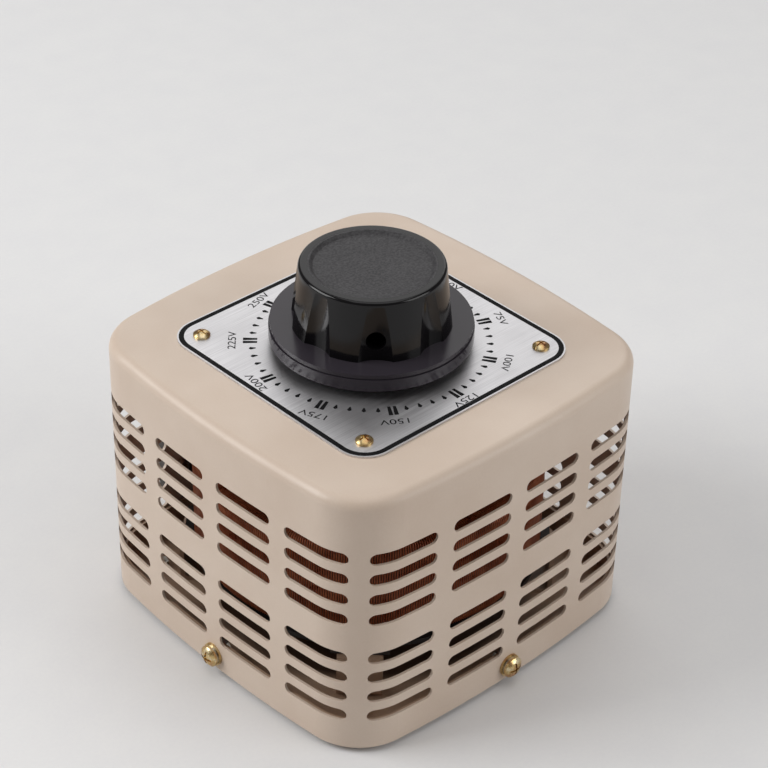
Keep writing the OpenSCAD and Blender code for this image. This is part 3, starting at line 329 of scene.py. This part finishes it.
# Nodes whose finish differs from that of the others in their slot
own_finish = {
    # The tray's finish has painted shade on its floor under the winding
    "base_tray": stoved_enamel("enamel_with_painted_floor_shade", "#b99d86", "#a98c75", 0.5, painted_shade=True),
    "terminal_studs": turned_metal("threaded_brass", "#d6b15e", "#b58d3c", 0.28, threaded=True),
}
scale_ink = dull_solid("black_screen_ink", "#121113", "#0b0b0c", 0.5, 0.004, 0.7, ior=1.25)
# Painted shade: the bed under the wires is a darker copy of the enamel's brown, standing in for the shade in
# the gaps
shade_painted_bed = dull_solid("bed_with_painted_shade", "#382217", "#27160e", 1.0, 0.02, 0.5)
pointer_paint = dull_solid("white_filled_line", "#f0eee8", "#dcd9d0", 0.6, 0.01, 0.5)

for part in frame["record"]["subparts"]:
    node = frame["nodes"][part["node"]]
    finish = own_finish.get(part["node"], finishes[part["material_slot"]])
    if node.material_slots:
        node.material_slots[0].material = finish
    else:
        node.data.materials.append(finish)


# Making pieces

def new_object(name, data):
    """An object with this data, in the scene."""
    thing = bpy.data.objects.new(name, data)
    bpy.context.scene.collection.objects.link(thing)
    return thing


def plain_mesh(thing):
    """What an object comes to with its modifier or text, as a plain mesh. The object itself goes."""
    evaluated = thing.evaluated_get(bpy.context.evaluated_depsgraph_get())
    mesh = bpy.data.meshes.new_from_object(evaluated)
    bpy.data.objects.remove(thing)
    return mesh


def piece(name, mesh, material, body):
    """A finished mesh as an object that rides on a body. A mesh that a tree has painted needs no material."""
    thing = new_object(name, mesh)
    if material:
        mesh.materials.clear()
        mesh.materials.append(material)
    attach(thing, body)
    return thing


def grown(name, mesh, tree, values):
    """Runs a node tree on a mesh with these named inputs and gives back the result as a plain mesh."""
    thing = new_object(name, mesh)
    modifier = thing.modifiers.new("grow", "NODES")
    modifier.node_group = tree
    for socket in tree.interface.items_tree:
        if socket.in_out == "INPUT" and socket.name in values:
            modifier[socket.identifier] = values[socket.name]
    result = plain_mesh(thing)
    result.name = name
    return result


def new_tree(name, inputs):
    """A geometry tree with a geometry socket each way and these inputs, each a name and its socket type."""
    tree = bpy.data.node_groups.new(name, "GeometryNodeTree")
    tree.interface.new_socket("Geometry", in_out="INPUT", socket_type="NodeSocketGeometry")
    tree.interface.new_socket("Geometry", in_out="OUTPUT", socket_type="NodeSocketGeometry")
    for label, kind in inputs:
        tree.interface.new_socket(label, in_out="INPUT", socket_type="NodeSocket" + kind)
    return tree, add(tree, "NodeGroupInput")


def ring_mesh(name, section, steps):
    """A closed ring swept from a section of radius and height pairs, given anticlockwise."""
    count = len(section)
    verts = [(r * math.cos(a), r * math.sin(a), z)
             for a in (FULL_TURN * i / steps for i in range(steps)) for r, z in section]
    faces = [(i * count + k, (i + 1) % steps * count + k, (i + 1) % steps * count + (k + 1) % count,
              i * count + (k + 1) % count) for i in range(steps) for k in range(count)]
    mesh = bpy.data.meshes.new(name)
    mesh.from_pydata(verts, [], faces)
    return mesh


def rounded_loop(low, high, radius, steps):
    """Points of a rounded rectangle between two corners, anticlockwise."""
    corners = [(high[0] - radius, low[1] + radius, -90), (high[0] - radius, high[1] - radius, 0),
               (low[0] + radius, high[1] - radius, 90), (low[0] + radius, low[1] + radius, 180)]
    return [(x + radius * math.cos(math.radians(first + 90 * i / steps)),
             y + radius * math.sin(math.radians(first + 90 * i / steps)))
            for x, y, first in corners for i in range(steps + 1)]


def joined(name, meshes):
    """One mesh from several."""
    verts, faces = [], []
    for mesh in meshes:
        first = len(verts)
        verts += [v.co.copy() for v in mesh.vertices]
        faces += [[first + i for i in face.vertices] for face in mesh.polygons]
    whole = bpy.data.meshes.new(name)
    whole.from_pydata(verts, [], faces)
    return whole


# Winding: a bed of lower turns, painted dark brown as shade in the gaps between wires, with the outer layer's
# wires on it

# The real wire is about 0.8 mm thick, drawn at 0.95 mm so that it shows
WIRE_R, WIRE_TURNS = 0.475 * MM, 455
# How far the bed lies inside the wires' outer form
BED_INSET = 1.6 * WIRE_R
# Steps round the bed, and in each of its rounded edges
RING_STEPS, EDGE_STEPS = 160, 4
# Steps in a loop's corner and sides of its wire, few because there are hundreds of loops
LOOP_STEPS, LOOP_SIDES = 2, 4


def wound_wire_tree():
    """Loops of wire set round a ring, joined to the bed of lower turns that comes in."""
    tree, given = new_tree("wound_wire", [
        ("Turns", "Int"), ("Wire Radius", "Float"), ("Width", "Float"), ("Height", "Float"),
        ("Edge Radius", "Float"), ("Ring Radius", "Float"), ("Middle", "Float"),
        ("Wire Finish", "Material"), ("Bed Finish", "Material")])
    outline = add(tree, "GeometryNodeCurvePrimitiveQuadrilateral", {
        "Width": (given, "Width"), "Height": (given, "Height")})
    loop = add(tree, "GeometryNodeFilletCurve", {
        "Curve": outline, "Count": LOOP_STEPS, "Radius": (given, "Edge Radius")}, mode="POLY")
    round_wire = add(tree, "GeometryNodeCurvePrimitiveCircle", {
        "Resolution": LOOP_SIDES, "Radius": (given, "Wire Radius")})
    bare = add(tree, "GeometryNodeCurveToMesh", {"Curve": loop, "Profile Curve": round_wire})
    wire = add(tree, "GeometryNodeSetMaterial", {"Geometry": bare, "Material": (given, "Wire Finish")})
    spot = add(tree, "ShaderNodeCombineXYZ", {"X": (given, "Ring Radius"), "Z": (given, "Middle")})
    upright = add(tree, "GeometryNodeTransform", {
        "Geometry": wire, "Translation": spot, "Rotation": (QUARTER_TURN, 0, 0)})
    points = add(tree, "GeometryNodePoints", {"Count": (given, "Turns")})
    index = add(tree, "GeometryNodeInputIndex")
    share = add(tree, "ShaderNodeMath", {0: index, 1: (given, "Turns")}, operation="DIVIDE")
    angle = add(tree, "ShaderNodeMath", {0: share, 1: FULL_TURN}, operation="MULTIPLY")
    turn = add(tree, "ShaderNodeCombineXYZ", {"Z": angle})
    loops = add(tree, "GeometryNodeInstanceOnPoints", {
        "Points": points, "Instance": upright, "Rotation": turn})
    both = add(tree, "GeometryNodeJoinGeometry", {0: [loops, (given, "Geometry")]})
    real = add(tree, "GeometryNodeRealizeInstances", {0: both})
    smooth = add(tree, "GeometryNodeSetShadeSmooth", {0: real})
    on_wire = add(tree, "GeometryNodeMaterialSelection", {"Material": (given, "Wire Finish")})
    on_bed = add(tree, "FunctionNodeBooleanMath", {0: on_wire}, operation="NOT")
    painted = add(tree, "GeometryNodeSetMaterial", {
        "Geometry": smooth, "Selection": on_bed, "Material": (given, "Bed Finish")})
    add(tree, "NodeGroupOutput", {0: painted})
    return tree


outer, inner = (
    rounded_loop((RING_IN + inset, winding_low.z + inset), (ring_out - inset, winding_high.z - inset),
                 WINDING_EDGE - inset, EDGE_STEPS) for inset in (BED_INSET, WINDING_WALL))
bed = joined("shade_painted_bed", [ring_mesh("outer_skin", outer, RING_STEPS),
                             ring_mesh("inner_skin", inner[::-1], RING_STEPS)])
bed.shade_smooth()
wound = grown("winding_wires", bed, wound_wire_tree(), {
    "Turns": WIRE_TURNS, "Wire Radius": WIRE_R, "Width": ring_out - RING_IN - 2 * WIRE_R,
    "Height": winding_high.z - winding_low.z - 2 * WIRE_R, "Edge Radius": WINDING_EDGE - WIRE_R,
    "Ring Radius": ring_middle, "Middle": (winding_high.z + winding_low.z) / 2,
    "Wire Finish": finishes["copper"], "Bed Finish": shade_painted_bed})
winding_piece = piece("winding_wires", wound, None, "frame")
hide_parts("winding")


# Spring over the carbon brush. Its upper end stays in the arm

SPRING_WIRE_R, SPRING_TURNS = 0.3 * MM, 4.0
# Steps in each turn of the spring, and sides of its wire
COIL_STEPS, COIL_SIDES = 20, 8


def coil_tree():
    """A wire wound into a spring that stands on the origin."""
    tree, given = new_tree("coil_spring", [
        ("Turns", "Float"), ("Coil Radius", "Float"), ("Wire Radius", "Float"), ("Rise", "Float"),
        ("Finish", "Material")])
    path = add(tree, "GeometryNodeCurveSpiral", {
        "Resolution": COIL_STEPS, "Rotations": (given, "Turns"), "Start Radius": (given, "Coil Radius"),
        "End Radius": (given, "Coil Radius"), "Height": (given, "Rise")})
    round_wire = add(tree, "GeometryNodeCurvePrimitiveCircle", {
        "Resolution": COIL_SIDES, "Radius": (given, "Wire Radius")})
    wire = add(tree, "GeometryNodeCurveToMesh", {
        "Curve": path, "Profile Curve": round_wire, "Fill Caps": True})
    real = add(tree, "GeometryNodeRealizeInstances", {0: wire})
    painted = add(tree, "GeometryNodeSetMaterial", {"Geometry": real, "Material": (given, "Finish")})
    add(tree, "NodeGroupOutput", {0: painted})
    return tree


spring_low, spring_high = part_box("brush_spring")
spring_tall = spring_high.z - spring_low.z
spring_axis = (spring_low + spring_high) / 2
coil = grown("spring_coil", bpy.data.meshes.new("none"), coil_tree(), {
    "Turns": SPRING_TURNS, "Coil Radius": (spring_high.x - spring_low.x) / 2 - SPRING_WIRE_R,
    "Wire Radius": SPRING_WIRE_R, "Rise": spring_tall - 2 * SPRING_WIRE_R, "Finish": finishes["steel"]})
coil.transform(Matrix.Translation((spring_axis.x, spring_axis.y, spring_low.z + SPRING_WIRE_R)))
spring_piece = piece("spring_coil", coil, None, "rotor")
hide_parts("brush_spring")
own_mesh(spring_piece)


# Scale plate's print: a border, marks, ticks and numbers, each a thin film on the plate

# A mark is a pair of bars that narrow towards the middle, and a tick is a drop with its point to the middle
MARK_IN, MARK_OUT = 49.6 * MM, 55.8 * MM
BAR_WIDE, BAR_NARROW, BAR_APART = 1.9 * MM, 1.3 * MM, 2.4 * MM
DROP_WIDE, DROP_HEAD, DROP_POINT, DROP_SOFT = 2.0 * MM, 0.9 * MM, 3.0 * MM, 0.3 * MM
# A number's height, how much it is widened, its usual distance from the axis and its least gap to the border
NUMBER_SIZE, NUMBER_WIDER, NUMBER_RADIUS, NUMBER_GAP = 5.0 * MM, 1.3, 60.4 * MM, 0.2 * MM
# The border's outer and inner edges, measured in from the plate's own edge, and its outer corner radius
BORDER_OUT, BORDER_IN, BORDER_R = 0.7 * MM, 3.0 * MM, 13.3 * MM
# Steps in a corner of a drop and of the border, and the distance at which a mark's points are one
DROP_STEPS, BORDER_STEPS, WELD = 3, 10, 0.001 * MM
ink_z = plate_high.z
half_plate = plate_high.x


def film(name, outer, inner):
    """A thin flat film between two outlines of as many points."""
    mesh = bpy.data.meshes.new(name)
    count = len(outer)
    verts = [(x, y, z) for z in (ink_z, ink_z + INK) for loop in (outer, inner) for x, y in loop]
    faces = []
    for k in range(count):
        n = (k + 1) % count
        # Lower outer, lower inner, upper outer and upper inner points of this step
        here, there = ([i, count + i, 2 * count + i, 3 * count + i] for i in (k, n))
        faces += [(here[0], there[0], there[2], here[2]), (there[1], here[1], here[3], there[3]),
                  (here[2], there[2], there[3], here[3]), (here[0], here[1], there[1], there[0])]
    mesh.from_pydata(verts, [], faces)
    return mesh


def marks_tree():
    """Marks set round an arc at even steps. The first place of each group is a pair of bars, the others
    are drops."""
    tree, given = new_tree("scale_marks", [
        ("Places", "Int"), ("Group", "Int"), ("Radius", "Float"), ("Start", "Float"), ("Step", "Float"),
        ("Level", "Float"), ("Thickness", "Float"), ("Bar Length", "Float"), ("Bar Width", "Float"),
        ("Bar Foot", "Float"), ("Bar Spacing", "Float"), ("Drop Width", "Float"), ("Drop Head", "Float"),
        ("Drop Point", "Float"), ("Drop Edge", "Float"), ("Finish", "Material")])
    bar = add(tree, "GeometryNodeCurvePrimitiveQuadrilateral", {
        "Height": (given, "Bar Length"), "Bottom Width": (given, "Bar Foot"),
        "Top Width": (given, "Bar Width"), "Offset": 0.0}, mode="TRAPEZOID")
    pair = []
    for side in (-0.5, 0.5):
        aside = add(tree, "ShaderNodeMath", {0: (given, "Bar Spacing"), 1: side}, operation="MULTIPLY")
        shift = add(tree, "ShaderNodeCombineXYZ", {"Y": aside})
        pair.append(add(tree, "GeometryNodeTransform", {
            "Geometry": bar, "Translation": shift, "Rotation": (0, 0, -QUARTER_TURN)}))
    bars = add(tree, "GeometryNodeJoinGeometry", {0: pair})
    drop = add(tree, "GeometryNodeCurvePrimitiveQuadrilateral", {
        "Width": (given, "Drop Width"), "Bottom Height": (given, "Drop Point"),
        "Top Height": (given, "Drop Head")}, mode="KITE")
    soft = add(tree, "GeometryNodeFilletCurve", {
        "Curve": drop, "Count": DROP_STEPS, "Radius": (given, "Drop Edge")}, mode="POLY")
    outward = add(tree, "GeometryNodeTransform", {"Geometry": soft, "Rotation": (0, 0, -QUARTER_TURN)})
    points = add(tree, "GeometryNodePoints", {"Count": (given, "Places")})
    index = add(tree, "GeometryNodeInputIndex")
    angle = add(tree, "ShaderNodeMath", {0: index, 1: (given, "Step"), 2: (given, "Start")},
                operation="MULTIPLY_ADD")
    across = add(tree, "ShaderNodeMath", {0: angle}, operation="COSINE")
    along = add(tree, "ShaderNodeMath", {0: angle}, operation="SINE")
    ray = add(tree, "ShaderNodeCombineXYZ", {"X": across, "Y": along})
    reach = add(tree, "ShaderNodeVectorMath", {0: ray, "Scale": (given, "Radius")}, operation="SCALE")
    lift = add(tree, "ShaderNodeCombineXYZ", {"Z": (given, "Level")})
    spot = add(tree, "ShaderNodeVectorMath", {0: reach, 1: lift}, operation="ADD")
    placed = add(tree, "GeometryNodeSetPosition", {"Geometry": points, "Position": spot})
    turn = add(tree, "ShaderNodeCombineXYZ", {"Z": angle})
    rest = add(tree, "ShaderNodeMath", {0: index, 1: (given, "Group")}, operation="MODULO")
    major = add(tree, "ShaderNodeMath", {0: rest, 1: 0.5}, operation="LESS_THAN")
    minor = add(tree, "ShaderNodeMath", {0: 1.0, 1: major}, operation="SUBTRACT")
    sets = []
    for chosen, outline in ((major, bars), (minor, outward)):
        flat = add(tree, "GeometryNodeFillCurve", {0: outline})
        raised = add(tree, "GeometryNodeExtrudeMesh", {
            "Mesh": flat, "Offset Scale": (given, "Thickness"), "Individual": False})
        under = add(tree, "GeometryNodeFlipFaces", {"Mesh": flat})
        shell = add(tree, "GeometryNodeJoinGeometry", {0: [raised, under]})
        solid = add(tree, "GeometryNodeMergeByDistance", {"Geometry": shell, "Distance": WELD})
        sets.append(add(tree, "GeometryNodeInstanceOnPoints", {
            "Points": placed, "Instance": solid, "Rotation": turn, "Selection": chosen}))
    shown = add(tree, "GeometryNodeJoinGeometry", {0: sets})
    real = add(tree, "GeometryNodeRealizeInstances", {0: shown})
    painted = add(tree, "GeometryNodeSetMaterial", {"Geometry": real, "Material": (given, "Finish")})
    add(tree, "NodeGroupOutput", {0: painted})
    return tree


def number_mesh(words, angle):
    """Figures on the plate at this angle, with their tops outward and their corners inside the border."""
    curve = bpy.data.curves.new("number", "FONT")
    curve.body = words
    curve.size = NUMBER_SIZE
    curve.align_x = "CENTER"
    curve.align_y = "CENTER"
    curve.extrude = INK / 2
    mesh = plain_mesh(new_object("number", curve))
    mesh.transform(Matrix.Diagonal((NUMBER_WIDER, 1, 1, 1)))
    half_wide, half_high = (max(v.co[axis] for v in mesh.vertices) for axis in (0, 1))
    steep, slight = sorted((abs(math.cos(angle)), abs(math.sin(angle))), reverse=True)
    room = (half_plate - BORDER_IN - NUMBER_GAP - half_wide * slight) / steep - half_high
    mesh.transform(Matrix.Rotation(angle, 4, "Z")
                   @ Matrix.Translation((min(NUMBER_RADIUS, room), 0, ink_z + INK / 2))
                   @ Matrix.Rotation(-QUARTER_TURN, 4, "Z"))
    return mesh


border = film("dial_border", *(
    rounded_loop((inset - half_plate,) * 2, (half_plate - inset,) * 2, BORDER_R + BORDER_OUT - inset,
                 BORDER_STEPS) for inset in (BORDER_OUT, BORDER_IN)))
piece("dial_border", border, scale_ink, "frame")

marks = grown("dial_marks", bpy.data.meshes.new("none"), marks_tree(), {
    "Places": LAST_VOLT // TICK_STEP + 1, "Group": MARK_STEP // TICK_STEP,
    "Radius": (MARK_IN + MARK_OUT) / 2, "Start": ZERO_ANGLE, "Step": VOLT_ANGLE * TICK_STEP, "Level": ink_z,
    "Thickness": INK, "Bar Length": MARK_OUT - MARK_IN, "Bar Width": BAR_WIDE, "Bar Foot": BAR_NARROW,
    "Bar Spacing": BAR_APART, "Drop Width": DROP_WIDE, "Drop Head": DROP_HEAD, "Drop Point": DROP_POINT,
    "Drop Edge": DROP_SOFT, "Finish": scale_ink})
piece("dial_marks", marks, None, "frame")

numbers = joined("dial_numbers", [number_mesh(f"{volt}V", ZERO_ANGLE + VOLT_ANGLE * volt)
                                  for volt in range(0, LAST_VOLT + 1, MARK_STEP)])
piece("dial_numbers", numbers, scale_ink, "frame")


# White line across the skirt, which points to the zero mark at rest

POINTER_WIDE = 1.2 * MM
strip = bpy.data.meshes.new("pointer_line")
strip.from_pydata([(r, side * POINTER_WIDE / 2, z) for r in (GRIP_R, SKIRT_R) for side in (-1, 1)
                   for z in (skirt_z, skirt_z + INK)], [],
                  [(0, 1, 3, 2), (4, 6, 7, 5), (0, 4, 5, 1), (2, 3, 7, 6), (0, 2, 6, 4), (1, 5, 7, 3)])
strip.transform(Matrix.Rotation(ZERO_ANGLE, 4, "Z"))
piece("pointer_line", strip, pointer_paint, "rotor")


# Stage: pale floor, camera and soft light

# How far the floor reaches from the axis each way, in metres
FLOOR_REACH = 6.0
floor_corners = [(x * FLOOR_REACH, y * FLOOR_REACH, 0) for x, y in ((-1, -1), (1, -1), (1, 1), (-1, 1))]
floor_mesh = bpy.data.meshes.new("floor")
floor_mesh.from_pydata(floor_corners, [], [(0, 1, 2, 3)])
floor_mesh.materials.append(dull_solid("pale_floor", "#e2e2e2", "#dfdfe0", 2.0, 0.01, 0.8))
new_object("floor", floor_mesh)

# The camera's bearing, height angle and roll, its distance, and its aim: a height on the axis, and a shift
# to the picture's right
AZIMUTH, ELEVATION, ROLL = math.radians(136.139), math.radians(34.853), math.radians(1.344)
DISTANCE, AIM_UP, AIM_RIGHT = 1044.4 * MM, 113.19 * MM, 6.03 * MM
LENS_MM, SENSOR_MM, NEAREST = 110.96, 36, 10 * MM
back = Vector((math.sin(AZIMUTH) * math.cos(ELEVATION), -math.cos(AZIMUTH) * math.cos(ELEVATION),
               math.sin(ELEVATION)))
right = Vector((math.cos(AZIMUTH), math.sin(AZIMUTH), 0))
up = back.cross(right)
aim = Vector((0, 0, AIM_UP)) + AIM_RIGHT * right
view_x = math.cos(ROLL) * right + math.sin(ROLL) * up
view_y = math.cos(ROLL) * up - math.sin(ROLL) * right
camera = new_object("camera", bpy.data.cameras.new("camera"))
camera.data.lens = LENS_MM
camera.data.sensor_width = SENSOR_MM
camera.data.clip_start = NEAREST
camera.matrix_world = (Matrix.Translation(aim + DISTANCE * back)
                       @ Matrix((view_x, view_y, back)).transposed().to_4x4())
bpy.context.scene.camera = camera

# Each lamp's place and width in metres, and its power in watts. The back one shows as a reflection in the
# plate and the knob's flat faces
LAMP_AIM = Vector((0, 0, 0.09))
LAMPS = {
    "key": ((1.5, -1.25, 1.3), 1.4, 39),
    "fill": ((-0.9, 1.7, 1.0), 1.4, 17),
    "top": ((-0.1, 0.1, 2.0), 1.6, 10),
    "back": ((-1.5, -1.5, 1.6), 2.2, 16),
}
for name, (place, width, power) in LAMPS.items():
    lamp = bpy.data.lights.new(name, "AREA")
    lamp.size = width
    lamp.energy = power
    softbox = new_object(name, lamp)
    softbox.location = place
    softbox.rotation_euler = (LAMP_AIM - Vector(place)).to_track_quat("-Z", "Y").to_euler()

WORLD_STRENGTH = 0.2
world = bpy.data.worlds.new("studio")
bpy.context.scene.world = world
world.use_nodes = True
background = world.node_tree.nodes["Background"]
background.inputs["Color"].default_value = linear("#efeae6")
background.inputs["Strength"].default_value = WORLD_STRENGTH

bpy.context.scene.view_settings.view_transform = "Standard"
